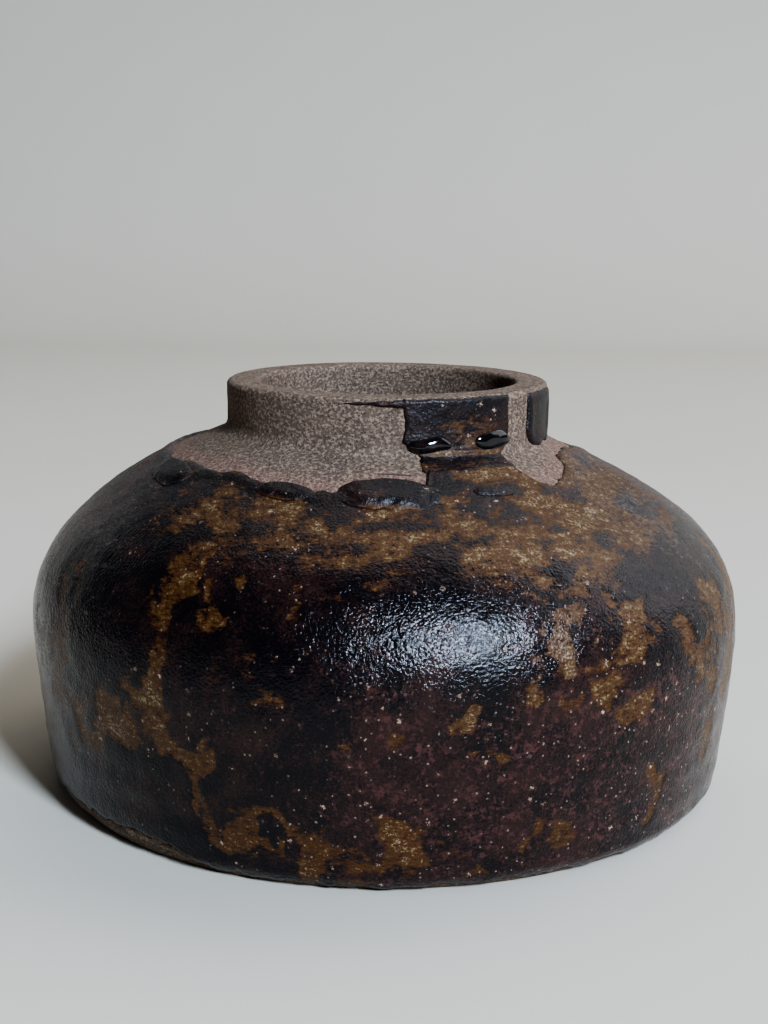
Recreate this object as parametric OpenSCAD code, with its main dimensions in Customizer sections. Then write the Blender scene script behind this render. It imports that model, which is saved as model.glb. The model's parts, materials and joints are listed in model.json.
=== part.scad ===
// Squat stoneware jar: a floor slab, two thrown bowls and a neck ring luted together with slip,
// under an iron glaze that stops at a line on the shoulder and has splashed over the neck.
// Millimetres. The origin is the centre of the face the jar stands on, +Z is up,
// and azimuth 0 is the front, towards -Y, growing towards +X.

/* [Overall] */
// Height from the table to the rim
pot_height = 61; // [50:0.5:76]
// Clay radius at the belly, the widest ring
belly_radius = 53.5; // [44:0.5:65]
// Height of the belly above the table
belly_height = 25.5; // [20:0.5:31]
// Thickness of the thrown walls
wall = 5; // [4:0.1:6]

/* [Foot] */
// Radius of the face that touches the table
foot_radius = 49; // [40:0.5:52]
// Radius where the bevel of the foot meets the wall
heel_radius = 50.9; // [42:0.1:53]
// Height of that bevel
heel_height = 2.4; // [1.5:0.1:3.5]
// Thickness of the floor slab
floor_thickness = 5; // [4:0.1:7]
// Width of the ring the jar stands on, round the turned recess
foot_ring = 11; // [7:0.5:14]
// Depth of the recess turned into the underside
foot_recess = 0.8; // [0.4:0.1:1.5]

/* [Shoulder] */
// How strongly the lower wall curves in to the heel
lower_curve = 1.55; // [1.2:0.05:2.2]
// How far the belly carries straight up before it turns in
belly_fullness = 12.2; // [8:0.2:15]
// Slope of the shoulder where it meets the neck, in degrees
shoulder_slope = 23; // [15:1:30]
// How far that slope carries out from the neck
shoulder_run = 22; // [16:0.5:26]

/* [Neck] */
// Outer radius of the neck ring
neck_radius = 24.3; // [22:0.1:29]
// Radius of the mouth
mouth_radius = 19.35; // [16:0.05:20]
// Height of the neck above the shoulder
neck_height = 8; // [6.5:0.5:12]
// Chamfer on both edges of the rim
rim_chamfer = 0.5; // [0.2:0.1:0.8]
// Radius of the coil smoothed into the corner under the neck
coil_radius = 2.2; // [1.4:0.1:3]

/* [Joints] */
// Thickness of slip in each luted joint
slip = 0.4; // [0.3:0.1:0.6]
// Height of the ridge that locates the piece above
ridge_height = 1.2; // [0.8:0.1:1.6]

/* [Glaze] */
// Thickness of the glaze on the outside
glaze = 0.5; // [0.3:0.05:0.7]
// Thickness of the glaze inside
lining = 0.3; // [0.2:0.05:0.5]
// Bare clay left at the foot, above the table
bare_foot = 0.9; // [0.5:0.1:1.2]
// Width of the bare band from the neck out to the glaze line
bare_band = 7.7; // [5:0.1:10]
// Thickness of the splash over the neck
splash = 0.45; // [0.3:0.05:0.6]
// Thickness of the streak inside the mouth
streak = 0.15; // [0.1:0.01:0.2]

/* [Hidden] */
$fn = 96;
fine = 720;

CLAY = "#8c7b6c";
SLIP = "#6d5f53";
GLAZE = "#2b1d16";
THIN_GLAZE = "#5c4526";

// Places on the shoulder and neck, as azimuths in degrees: from and to
splash_neck_span = [5.5, 45];
splash_shoulder_span = [10, 40];
streak_span = [74, 100];
run_span = [57, 80];

lower_steps = 10;
shoulder_steps = 26;
fillet_steps = 6;

shoulder_top = pot_height - neck_height;
glaze_line = neck_radius + bare_band;

// Unit normal on the right-hand side of a step, which points out of the wall.
function outward(step) = [step[1], -step[0]] / norm(step);

// Lower wall: u is 0 at the heel and 1 at the belly, where the wall is upright.
function lower_point(u) = [
    belly_radius - (belly_radius - heel_radius) * pow(1 - u, lower_curve),
    heel_height + (belly_height - heel_height) * u
];
function lower_step(u) = [
    (belly_radius - heel_radius) * lower_curve * pow(1 - u, lower_curve - 1),
    belly_height - heel_height
];

// Shoulder: a cubic curve from the belly to the corner under the neck.
shoulder = [
    [belly_radius, belly_height],
    [belly_radius, belly_height + belly_fullness],
    [neck_radius + shoulder_run * cos(shoulder_slope), shoulder_top - shoulder_run * sin(shoulder_slope)],
    [neck_radius, shoulder_top]
];
function shoulder_point(t) = pow(1 - t, 3) * shoulder[0] + 3 * pow(1 - t, 2) * t * shoulder[1]
    + 3 * (1 - t) * t * t * shoulder[2] + t * t * t * shoulder[3];
function shoulder_step(t) = pow(1 - t, 2) * (shoulder[1] - shoulder[0])
    + 2 * (1 - t) * t * (shoulder[2] - shoulder[1]) + t * t * (shoulder[3] - shoulder[2]);

// The wall's surface from the heel to the neck, moved out by d and kept beyond radius r_min.
function wall_path(d, r_min = 0) = concat(
    [for (i = [0 : lower_steps - 1]) let (u = i / lower_steps) lower_point(u) + d * outward(lower_step(u))],
    [for (i = [0 : shoulder_steps]) let (t = i / shoulder_steps, p = shoulder_point(t))
        if (p[0] >= r_min) p + d * outward(shoulder_step(t))]
);
function turned_round(path) = [for (i = [len(path) - 1 : -1 : 0]) path[i]];

// Fillet of the coil, tangent to the neck and to the slope of the shoulder.
fillet_centre = [
    neck_radius + coil_radius,
    shoulder_top - coil_radius * tan(shoulder_slope) + coil_radius / cos(shoulder_slope)
];
fillet_end_radius = fillet_centre[0] - coil_radius * sin(shoulder_slope);
function fillet_path(d) = [for (i = [0 : fillet_steps])
    let (a = 270 - shoulder_slope - (90 - shoulder_slope) * i / fillet_steps)
    fillet_centre + (coil_radius - d) * [cos(a), sin(a)]];

// Everything inside the jar's outer surface, grown by d, as half a section.
foot_out = outward([heel_radius - foot_radius, heel_height]);
module filled_section(d) {
    polygon(concat(
        [[0, 0], [foot_radius, 0] + d * foot_out, [heel_radius, heel_height] + d * foot_out],
        wall_path(d, fillet_end_radius),
        fillet_path(d),
        [[neck_radius + d, pot_height], [0, pot_height]]
    ));
}

// The part of a section between two heights, or between two radii.
module band(low, high) {
    translate([0, low]) square([2 * belly_radius, high - low]);
}
module ring(inner, outer) {
    translate([inner, 0]) square([outer - inner, pot_height]);
}

// Inner surface of the walls, up to the lip under the neck, moved inwards by d.
neck_wall = neck_radius - mouth_radius;
lip = [mouth_radius, shoulder_top - wall / cos(shoulder_slope) + neck_wall * tan(shoulder_slope)];
slope_out = [sin(shoulder_slope), cos(shoulder_slope)];
function inner_path(d) = concat(wall_path(-wall - d), [lip - d * slope_out]);

// Wall of the whole jar from heel to rim, which the joints cut into pieces.
module wall_section() {
    polygon(concat(
        wall_path(0),
        [
            [neck_radius, pot_height - rim_chamfer], [neck_radius - rim_chamfer, pot_height],
            [mouth_radius + rim_chamfer, pot_height], [mouth_radius, pot_height - rim_chamfer]
        ],
        turned_round(inner_path(0))
    ));
}

// Each luted joint: the middle of the wall, and the height of the lower piece's edge.
foot_joint_rise = (floor_thickness - heel_height) / (belly_height - heel_height);
foot_joint = [lower_point(foot_joint_rise)[0] - wall / 2, floor_thickness];
belly_joint = [belly_radius - wall / 2, belly_height - slip / 2];
neck_joint = [mouth_radius + neck_wall / 2, shoulder_top];

// All that lies under a joint, with the ridge that stands on the lower piece, grown by the slip's thickness.
module under(joint, grow = 0) {
    ridge_half = wall / 6;
    band(0, joint[1] + grow);
    translate(joint) polygon([
        [-2 * ridge_half - grow, -ridge_height], [2 * ridge_half + grow, -ridge_height],
        [ridge_half + grow, ridge_height + grow], [-ridge_half - grow, ridge_height + grow]
    ]);
}

module turned(from = 0, to = 360) {
    rotate([0, 0, from - 90]) rotate_extrude(angle = to - from) children();
}

module floor_slab() {
    color(CLAY) turned() difference() {
        intersection() {
            filled_section(0);
            under(foot_joint);
        }
        polygon([
            [0, -1], [foot_radius - foot_ring, -1], [foot_radius - foot_ring, 0],
            [foot_radius - foot_ring - foot_recess, foot_recess], [0, foot_recess]
        ]);
    }
}

// The wall from above one joint's slip up to the next joint.
module wall_piece(joint_below, joint_above) {
    color(CLAY) turned() difference() {
        intersection() {
            wall_section();
            under(joint_above);
        }
        under(joint_below, slip);
    }
}

module slip_layer(joint) {
    color(SLIP) turned() difference() {
        intersection() {
            wall_section();
            under(joint, slip);
        }
        under(joint);
    }
}

module foot_joint_slip() {
    slip_layer(foot_joint);
}

module lower_bowl() {
    wall_piece(foot_joint, belly_joint);
}

module belly_joint_slip() {
    slip_layer(belly_joint);
}

module upper_bowl() {
    wall_piece(belly_joint, neck_joint);
}

module neck_joint_slip() {
    slip_layer(neck_joint);
}

module neck_ring() {
    color(CLAY) turned() difference() {
        wall_section();
        under(neck_joint, slip);
    }
}

module neck_joint_coil() {
    color(CLAY) turned() difference() {
        intersection() {
            filled_section(0);
            ring(neck_radius, fillet_end_radius);
            band(lip[1], fillet_centre[1]);
        }
        wall_section();
    }
}

// Space inside the walls, moved inwards by d and open at the mouth.
module hollow_section(d) {
    intersection() {
        polygon(concat(
            [[0, 0], [wall_path(-wall - d)[0][0], 0]],
            inner_path(d),
            [[mouth_radius, pot_height], [0, pot_height]]
        ));
        band(floor_thickness + d, pot_height);
    }
}

module lining_glaze() {
    color(THIN_GLAZE) turned() difference() {
        intersection() {
            hollow_section(0);
            band(0, lip[1]);
        }
        hollow_section(lining);
        translate([0, floor_thickness + lining]) square([mouth_radius, pot_height]);
    }
}

module mouth_glaze_streak() {
    color(THIN_GLAZE) turned(streak_span[0], streak_span[1]) intersection() {
        ring(mouth_radius - streak, mouth_radius);
        band(lip[1], pot_height - 2 * rim_chamfer);
    }
}

// A coat of the given thickness on the jar's outer surface.
module coat_section(thickness) {
    difference() {
        filled_section(thickness);
        filled_section(0);
    }
}

module outer_glaze() {
    color(GLAZE) turned() intersection() {
        coat_section(glaze);
        ring(glaze_line, 2 * belly_radius);
        band(bare_foot, pot_height);
    }
}

// Over the neck, then down across the bare band to the glaze line, where both sides draw in.
module neck_glaze_splash() {
    overshoot = 5;
    color(GLAZE) difference() {
        turned(splash_neck_span[0], splash_neck_span[1]) intersection() {
            coat_section(splash);
            ring(neck_radius, glaze_line);
            band(lip[1] - neck_height, pot_height - rim_chamfer);
        }
        turned(splash_neck_span[0] - overshoot, splash_shoulder_span[0])
            ring(neck_radius + coil_radius, glaze_line + overshoot);
        turned(splash_shoulder_span[1], splash_neck_span[1] + overshoot)
            ring(neck_radius + coil_radius, glaze_line + overshoot);
    }
}

// The cap that stands out of a surface at a point of the section, where the surface leans by the slope.
// It is cut from a barrel that lies along the turning of the jar and is sunk to leave this cap.
module cap(azimuth, point, slope, length, width, height, $fn = fine) {
    along = (length * length / 4 + height * height) / (2 * height);
    across = (width * width / 4 + height * height) / (2 * height);
    sunk = across - height;
    rotate([0, 0, azimuth - 90])
        translate([point[0] - sunk * sin(slope), 0, point[1] - sunk * cos(slope)])
        rotate([90, 0, 0]) rotate_extrude() intersection() {
            translate([across - along, 0]) circle(along);
            translate([0, -along]) square([across, 2 * along]);
        }
}

// Glaze that gathered in the corner at the foot of the splash, lying on it.
pool_lean = (90 + shoulder_slope) / 2;
pool_height = 1.3;
module splash_pool(azimuth, length) {
    corner = fillet_centre - coil_radius * [sin(pool_lean), cos(pool_lean)];
    color(GLAZE) difference() {
        cap(azimuth, corner, pool_lean, length, 2 * coil_radius, pool_height);
        turned($fn = fine) filled_section(splash);
    }
}

module splash_pool_left() {
    splash_pool(14, 5.5);
}

module splash_pool_right() {
    splash_pool(38, 6);
}

// A tongue of glaze that ran down the side of the neck and stopped in a thick round edge.
run_edge = 0.9;
run_bottom = fillet_centre[1] + run_edge;
run_top = pot_height - 3 * rim_chamfer;
module neck_glaze_run() {
    color(GLAZE) turned(run_span[0], run_span[1]) difference() {
        union() {
            translate([0, run_bottom]) square([neck_radius + splash, run_top - run_bottom]);
            translate([neck_radius, run_bottom]) circle(run_edge);
        }
        square([neck_radius, pot_height]);
    }
}

// Height of the bare shoulder at a radius, on the chord between the curve's points.
function shoulder_height(radius) = lookup(-radius, [for (i = [0 : shoulder_steps])
    let (p = shoulder_point(i / shoulder_steps)) [-p[0], p[1]]]);

// Glaze that crawled back into a thick roll, lying on the coat with its upper side at the glaze line.
module glaze_roll(azimuth, length, width, height) {
    radius = glaze_line + width / 2;
    color(GLAZE) difference() {
        cap(azimuth, [radius, shoulder_height(radius) + glaze], shoulder_slope, length, width, height);
        turned($fn = fine) filled_section(glaze);
    }
}

module glaze_roll_side() {
    glaze_roll(-62, 9.4, 4.4, 0.8);
}

module glaze_roll_small() {
    glaze_roll(-23.5, 6.8, 2.4, 0.6);
}

module glaze_roll_large() {
    glaze_roll(1, 11.5, 5.4, 1.1);
}

module glaze_roll_thin() {
    glaze_roll(26.4, 4.6, 1.8, 0.5);
}

floor_slab();
foot_joint_slip();
lower_bowl();
belly_joint_slip();
upper_bowl();
neck_joint_slip();
neck_ring();
neck_joint_coil();
lining_glaze();
mouth_glaze_streak();
outer_glaze();
neck_glaze_splash();
splash_pool_left();
splash_pool_right();
neck_glaze_run();
glaze_roll_side();
glaze_roll_small();
glaze_roll_large();
glaze_roll_thin();
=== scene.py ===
"""Clothes the CAD frame of a squat stoneware jar: bare grogged clay at the neck, and a dark iron
glaze that breaks to amber, gathers in rolls at its upper edge and has splashed over the neck.

Azimuths are degrees from the front (-Y) towards +X. Lengths inside the functions are millimetres.
"""

import json
from math import cos, pi, radians, sin, tan
from types import SimpleNamespace

import bpy
import numpy as np
from mathutils import Matrix, Vector


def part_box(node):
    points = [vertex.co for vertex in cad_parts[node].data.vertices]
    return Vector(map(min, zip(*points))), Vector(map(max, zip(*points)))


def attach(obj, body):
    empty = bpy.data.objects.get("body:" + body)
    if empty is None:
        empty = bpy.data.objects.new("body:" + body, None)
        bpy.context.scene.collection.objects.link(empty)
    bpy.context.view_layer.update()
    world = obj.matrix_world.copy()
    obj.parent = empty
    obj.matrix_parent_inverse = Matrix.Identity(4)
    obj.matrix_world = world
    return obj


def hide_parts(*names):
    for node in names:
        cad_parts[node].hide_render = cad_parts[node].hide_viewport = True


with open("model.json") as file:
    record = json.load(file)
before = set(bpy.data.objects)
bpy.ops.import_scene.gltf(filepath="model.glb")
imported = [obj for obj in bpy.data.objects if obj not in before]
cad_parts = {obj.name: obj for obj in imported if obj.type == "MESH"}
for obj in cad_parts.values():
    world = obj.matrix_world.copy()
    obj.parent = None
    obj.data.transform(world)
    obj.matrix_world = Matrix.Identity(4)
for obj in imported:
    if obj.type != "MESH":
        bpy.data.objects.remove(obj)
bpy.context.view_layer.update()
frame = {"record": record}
MM = 0.001

bl_info = {
    "name": "Glazed stoneware jar",
    "version": (1, 0, 0),
    "blender": (4, 5, 0),
    "location": "3D View > Sidebar > Jar",
    "description": "Builds the clay and the glazes of a squat stoneware jar",
    "category": "Add Mesh",
}


def frame_top(node):
    """Greatest height of a CAD node, in metres."""
    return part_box(node)[1][2]


def frame_radius(node):
    """Greatest radius of a turned CAD node, in metres."""
    low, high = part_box(node)
    return (high[0] - low[0]) / 2


def mount_radius(name):
    """Radius of a round mount of the frame's record, in metres."""
    return next(m["dims"]["r_mm"] for m in frame["record"]["mounts"] if m["name"] == name) * MM


def length(name, text, default):
    """A length that the user may set, in metres."""
    return bpy.props.FloatProperty(
        name=name, description=text, default=default, unit="LENGTH", precision=5
    )


def share(name, text, default):
    """A plain number from 0 to 1."""
    return bpy.props.FloatProperty(
        name=name, description=text, default=default, min=0, max=1, subtype="FACTOR"
    )


def angle(name, text, default):
    """An angle, in radians."""
    return bpy.props.FloatProperty(name=name, description=text, default=default, subtype="ANGLE")


def power(name, text, default):
    """The power of a lamp, in watts."""
    return bpy.props.FloatProperty(name=name, description=text, default=default, unit="POWER")


def colour(name, text, default):
    """A linear colour."""
    return bpy.props.FloatVectorProperty(
        name=name, description=text, default=default, size=3, subtype="COLOR"
    )


class JarShape(bpy.types.PropertyGroup):
    """Sizes of the clay body; the defaults come from the frame."""

    pot_height: length("Height", "From the table to the rim", frame_top("neck_ring"))
    belly_radius: length("Belly radius", "Clay radius at the widest ring", frame_radius("lower_bowl"))
    belly_height: length("Belly height", "Height of the widest ring", frame_top("lower_bowl") - 1 * MM)
    wall: length("Wall", "Thickness of the thrown walls", 5 * MM)
    foot_radius: length("Foot radius", "Radius of the face on the table", 49 * MM)
    heel_radius: length("Heel radius", "Radius above the bevel of the foot", 50.9 * MM)
    heel_height: length("Heel height", "Height of the bevel", 2.4 * MM)
    belly_fullness: length("Fullness", "How far the belly carries up before it turns in", 12.2 * MM)
    shoulder_run: length("Shoulder run", "How far the neck end's slope carries out", 22 * MM)
    shoulder_slope: angle("Shoulder slope", "Slope where the shoulder meets the neck", radians(23))
    neck_radius: length("Neck radius", "Outer radius of the neck", frame_radius("neck_ring"))
    neck_height: length("Neck height", "From the shoulder to the rim", 8 * MM)
    mouth_radius: length("Mouth radius", "Inner radius of the neck", mount_radius("mouth"))
    coil_radius: length("Coil radius", "Fillet under the neck", 2.2 * MM)
    floor_thickness: length("Floor", "Thickness of the floor", 5 * MM)
    lean: length("Lean", "How much higher the left shoulder meets the neck than the middle", 0.75 * MM)


class GlazeLook(bpy.types.PropertyGroup):
    """Colours and thickness of the glaze."""

    thickness: length("Thickness", "Thickness of the coat", 0.5 * MM)
    black: colour("Black", "Where the glaze is thick", (0.0032, 0.0025, 0.0042))
    wine: colour("Wine brown", "Where the glaze is a little thinner", (0.026, 0.0105, 0.0090))
    oxblood: colour("Oxblood", "Mottles of the lower front", (0.068, 0.025, 0.022))
    rust: colour("Rust", "Edges of the thin places", (0.046, 0.0165, 0.0055))
    amber: colour("Amber", "Inside those edges", (0.068, 0.0275, 0.0070))
    ochre: colour("Ochre", "Middle of the thin places", (0.094, 0.061, 0.027))
    pale: colour("Pale ochre", "Thinnest glaze", (0.25, 0.175, 0.100))
    # veil: the colour of a dry grey-brown film of glaze, and also painted sheen on the sides of the shoulder
    veil: colour("Veil", "Grey-brown film of dry glaze on the shoulder", (0.125, 0.096, 0.083))
    speck: colour("Speck", "Melted feldspar specks", (0.46, 0.34, 0.26))
    gloss: share("Roughness", "Roughness where the glaze is thick", 0.13)


class ClayLook(bpy.types.PropertyGroup):
    """Colours of the bare clay."""

    light: colour("Light grog", "Pale grains", (0.285, 0.208, 0.152))
    body: colour("Body", "Clay between the grains", (0.120, 0.086, 0.065))
    # dark: also used for the painted shade in the groove above the large roll
    dark: colour("Dark grog", "Iron grains and pits", (0.054, 0.040, 0.033))
    flush: colour("Flush", "Pink flush beside the glaze", (0.170, 0.096, 0.076))


class StageLook(bpy.types.PropertyGroup):
    """Floor, lights and camera."""

    floor: colour("Floor", "Pale floor and backdrop", (0.50, 0.465, 0.40))
    window: power("Window", "Power of the window light", 47)
    side: power("Side", "Power of the light at the right", 17)
    fill: power("Fill", "Power of the overhead light", 9)
    ambient: share("Ambient", "Strength of the surrounding light", 0.11)
    distance: length("Camera distance", "From the jar's axis to the camera", 243.06 * MM)
    height: length("Camera height", "Above the table", 88.4 * MM)
    pitch: angle("Pitch", "How far the camera looks down", 0.1957)
    roll: angle("Roll", "How far the camera is turned about its view", 0.0100)


# ---------------------------------------------------------------- shapes


def smoothstep(low, high, x):
    """0 below low, 1 above high, and t * t * (3 - 2 * t) between; low may be above high."""
    t = np.clip((x - low) / (high - low), 0, 1)
    return t * t * (3 - 2 * t)


def window(a, b, c, d, x):
    """0 below a, 1 from b to c and 0 above d: the product of two smoothsteps."""
    return smoothstep(a, b, x) * smoothstep(d, c, x)


def dome(x):
    """sqrt(1 - (1 - x)**2) with x held between 0 and 1: a quarter circle up from an edge, then level."""
    return np.sqrt(1 - (1 - np.clip(x, 0, 1)) ** 2)


def noise(points, size, seed, octaves=1):
    """Random height from about -1 to 1: random values on a lattice of the given size, blended smoothly,
    and summed over octaves of half the size and half the height."""
    rng = np.random.default_rng(seed)
    order = np.tile(rng.permutation(256), 2)
    values = rng.uniform(-1, 1, 256)
    total = np.zeros(points.shape[:-1])
    for octave in range(octaves):
        place = points / size * 2**octave + 17.3 * octave
        cell = np.floor(place).astype(int)
        f = place - cell
        f = f * f * f * (f * (f * 6 - 15) + 10)
        cell &= 255

        def corner(dx, dy, dz):
            a = order[(cell[..., 0] + dx) & 255]
            b = order[(a + cell[..., 1] + dy) & 255]
            return values[order[(b + cell[..., 2] + dz) & 255]]

        def along_x(dy, dz):
            return corner(0, dy, dz) * (1 - f[..., 0]) + corner(1, dy, dz) * f[..., 0]

        def along_y(dz):
            return along_x(0, dz) * (1 - f[..., 1]) + along_x(1, dz) * f[..., 1]

        total += 0.5**octave * (along_y(0) * (1 - f[..., 2]) + along_y(1) * f[..., 2])
    return total


def shape_in_mm():
    """The sizes of JarShape in millimetres, with angles left in radians."""
    group = bpy.context.scene.jar_shape
    names = JarShape.__annotations__
    return SimpleNamespace(**{n: getattr(group, n) / (1 if n == "shoulder_slope" else MM) for n in names})


class Outline:
    """A profile from the foot to the rim: points (r, z) at equal steps of arc length s, with normals that
    point outwards."""

    def __init__(self, r, z, step=0.1):
        s = np.concatenate([[0], np.cumsum(np.hypot(np.diff(r), np.diff(z)))])
        self.s = np.arange(0, s[-1], step)
        self.r, self.z = np.interp(self.s, s, r), np.interp(self.s, s, z)
        dr, dz = np.gradient(self.r, self.s), np.gradient(self.z, self.s)
        size = np.hypot(dr, dz)
        self.nr, self.nz = dz / size, -dr / size

    def at(self, s, offset=0.0):
        """Radius and height at arc length s, moved out along the normal."""
        r, z, nr, nz = (np.interp(s, self.s, a) for a in (self.r, self.z, self.nr, self.nz))
        return r + offset * nr, z + offset * nz

    def at_height(self, z):
        """Arc length of a height."""
        return np.interp(z, self.z, self.s)


def wall_points(shape, count=400):
    """(r, z) of the clay: lower wall r = belly - (belly - heel) * (1 - u)**1.55, then the shoulder, which is
    a cubic Bezier curve."""
    u = np.linspace(0, 1, count, endpoint=False)
    lower = [
        shape.belly_radius - (shape.belly_radius - shape.heel_radius) * (1 - u) ** 1.55,
        shape.heel_height + (shape.belly_height - shape.heel_height) * u,
    ]
    top = shape.pot_height - shape.neck_height
    slope = shape.shoulder_slope
    ends = np.array([
        [shape.belly_radius, shape.belly_height],
        [shape.belly_radius, shape.belly_height + shape.belly_fullness],
        [shape.neck_radius + shape.shoulder_run * cos(slope), top - shape.shoulder_run * sin(slope)],
        [shape.neck_radius, top],
    ])
    t = np.linspace(0, 1, count)[:, None]
    weights = ((1 - t) ** 3, 3 * (1 - t) ** 2 * t, 3 * (1 - t) * t**2, t**3)
    upper = sum(weight * end for weight, end in zip(weights, ends))
    return np.concatenate([lower[0], upper[:, 0]]), np.concatenate([lower[1], upper[:, 1]])


def outer_outline(shape):
    """The jar's outside: foot bevel, wall, fillet tangent to shoulder and neck, neck up to the rim's edge."""
    r, z = wall_points(shape)
    slope = shape.shoulder_slope
    top = shape.pot_height - shape.neck_height
    centre = np.array([
        shape.neck_radius + shape.coil_radius,
        top - shape.coil_radius * tan(slope) + shape.coil_radius / cos(slope),
    ])
    keep = r > centre[0] - shape.coil_radius * sin(slope)
    a = np.linspace(1.5 * pi - slope, pi, 40)
    fillet = centre[:, None] + shape.coil_radius * np.array([np.cos(a), np.sin(a)])
    r = np.concatenate([[shape.foot_radius], r[keep], fillet[0], [shape.neck_radius]])
    z = np.concatenate([[0], z[keep], fillet[1], [shape.pot_height]])
    return Outline(r, z)


def inner_outline(shape, offset=0.0):
    """The inside of the walls from the floor to the lip under the neck: the outside moved in by the wall."""
    r, z = wall_points(shape)
    path = Outline(r, z)
    r, z = path.at(path.s, -shape.wall - offset)
    keep = (z > shape.floor_thickness + offset) & (r > shape.mouth_radius)
    return Outline(r[keep], z[keep])


def warp(shape, azimuth, r, z):
    """The hand in the throwing: the shoulder leans so that its left side meets the neck higher, and the
    jar is a little out of round. z grows by -lean * w(z) * sin(azimuth), and r by small shares of
    cos(2 azimuth) and cos(3 azimuth)."""
    a = np.radians(azimuth)
    top = shape.pot_height - shape.neck_height
    w = smoothstep(30, top, z) * smoothstep(top + 6, top, z)
    z = z - shape.lean * w * np.sin(a) * np.minimum(r / shape.neck_radius, 1.35)
    r = r * (1 + 0.0022 * np.cos(2 * a + 0.7) * smoothstep(4, 20, z) + 0.0016 * np.cos(3 * a + 2.1))
    return r, z


def place(shape, azimuth, r, z):
    """Points in the frame: x = r sin(azimuth), y = -r cos(azimuth), after the hand-made warp."""
    azimuth, r, z = np.broadcast_arrays(azimuth, r, z)
    r, z = warp(shape, azimuth, r, z)
    a = np.radians(azimuth)
    return np.stack([r * np.sin(a), -r * np.cos(a), z], -1)


def round_azimuths(count):
    """Azimuths once round the jar, half as dense again at the front as on average: t - 20 * sin(t)."""
    t = np.linspace(-180, 180, count, endpoint=False)[None, :]
    return t - 20 * np.sin(np.radians(t))


def make_object(name, points, faces, values=None):
    """A mesh object in metres from points in millimetres, with one float attribute for each named value."""
    mesh = bpy.data.meshes.new(name)
    mesh.from_pydata(points * MM, [], faces)
    for key, value in (values or {}).items():
        layer = mesh.attributes.new(key, "FLOAT", "POINT")
        layer.data.foreach_set("value", np.ascontiguousarray(value, np.float32).ravel())
    mesh.shade_smooth()
    piece = bpy.data.objects.new(name, mesh)
    bpy.context.scene.collection.objects.link(piece)
    return piece


def grid_faces(rows, columns, closed_rows, closed_columns):
    """Quads of a grid of rows by columns, joined round in either direction where it is closed."""
    i = np.arange(rows if closed_rows else rows - 1)[:, None]
    j = np.arange(columns if closed_columns else columns - 1)[None, :]
    down, right = (i + 1) % rows, (j + 1) % columns
    quads = np.stack([i * columns + j, i * columns + right, down * columns + right, down * columns + j], -1)
    return quads.reshape(-1, 4)


def turned_ring(name, grid, values=None):
    """A closed ring: row by row up its outside and back down its inside, each row once round the jar."""
    rows, columns = grid.shape[:2]
    return make_object(name, grid.reshape(-1, 3), grid_faces(rows, columns, True, True), values)


def turned_disc(name, grid):
    """A closed body whose first and last rows lie on the axis: each of those rows becomes one point."""
    rows, columns = grid.shape[:2]
    body = grid[1:-1].reshape(-1, 3)
    quads = grid_faces(rows - 2, columns, False, True)
    ends = np.array([grid[0].mean(0), grid[-1].mean(0)])
    j = np.arange(columns)
    k = (j + 1) % columns
    first, last = len(body), len(body) + 1
    top = (rows - 3) * columns
    low_fan = np.stack([np.full(columns, first), k, j], -1)
    high_fan = np.stack([np.full(columns, last), top + j, top + k], -1)
    faces = quads.tolist() + low_fan.tolist() + high_fan.tolist()
    return make_object(name, np.concatenate([body, ends]), faces)


def sheet(name, points, rise, depth, values):
    """The faces of a grid of points with a rise above zero at some corner, given a back at a depth in mm."""
    quads = grid_faces(*rise.shape, False, False)
    quads = quads[(rise.ravel()[quads] > 0).any(1)]
    used, quads = np.unique(quads, return_inverse=True)
    own = {key: value.ravel()[used] for key, value in values.items()}
    piece = make_object(name, points.reshape(-1, 3)[used], quads.reshape(-1, 4), own)
    back = piece.modifiers.new("Back", "SOLIDIFY")
    back.thickness = depth * MM
    back.offset = -1
    return piece


class Skin:
    """The outside of the clay as a surface of azimuth and arc length s from the foot. The arc lengths rim
    and neck_foot are where the neck ends and where its upright part begins."""

    buried = 0.35  # mm, how deep the back of a drop lies under its front

    def __init__(self, shape):
        self.shape, self.path = shape, outer_outline(shape)
        fillet_height = 1.2
        self.rim = self.path.s[-1]
        self.neck_foot = self.path.at_height(shape.pot_height - shape.neck_height + fillet_height)

    def arc(self, radius):
        """Arc length of a radius on the shoulder."""
        return np.interp(radius, self.path.r[::-1], self.path.s[::-1])

    def points(self, azimuth, s, offset=0.0):
        """Points moved out from the clay by an offset."""
        return place(self.shape, azimuth, *self.path.at(s, offset))

    def fields(self, azimuth, s):
        """The attributes of the glaze over a point."""
        r, z = self.path.at(s)
        return coat_fields(azimuth + 0 * r, r, z, place(self.shape, azimuth, r, z))

    def patch(self, name, azimuths, arcs, height, base=0.0, values=None):
        """A drop of glaze: points moved out by base + height(azimuth, s), kept where height is above zero,
        with a back that is buried in the wall."""
        azimuth, s = np.meshgrid(azimuths, arcs)
        rise = height(azimuth, s)
        own = values(azimuth, s) if values else {}
        return sheet(name, self.points(azimuth, s, base + rise), rise, self.buried, own)


# ---------------------------------------------------------------- where the glaze lies

# Radius of the glaze line at azimuths round the jar. It rises towards the neck under the splash.
GLAZE_LINE = (
    (-180, 31.2), (-150, 32.6), (-120, 31.4), (-95, 32.4), (-72, 32.8), (-53, 32.0), (-40, 31.7),
    (-29, 32.6), (-20, 33.2), (-13, 33.5), (-8, 32.3), (-4, 31.0), (1, 30.5), (7, 30.9), (9.5, 31.2),
    (12, 27.6), (28, 27.2), (38, 27.5), (42, 31.6), (46, 32.2), (52, 31.4), (60, 29.6), (68, 27.2),
    (80, 26.8), (94, 28.6), (112, 31.8), (140, 32.4), (160, 31.0), (180, 31.2),
)

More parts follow.
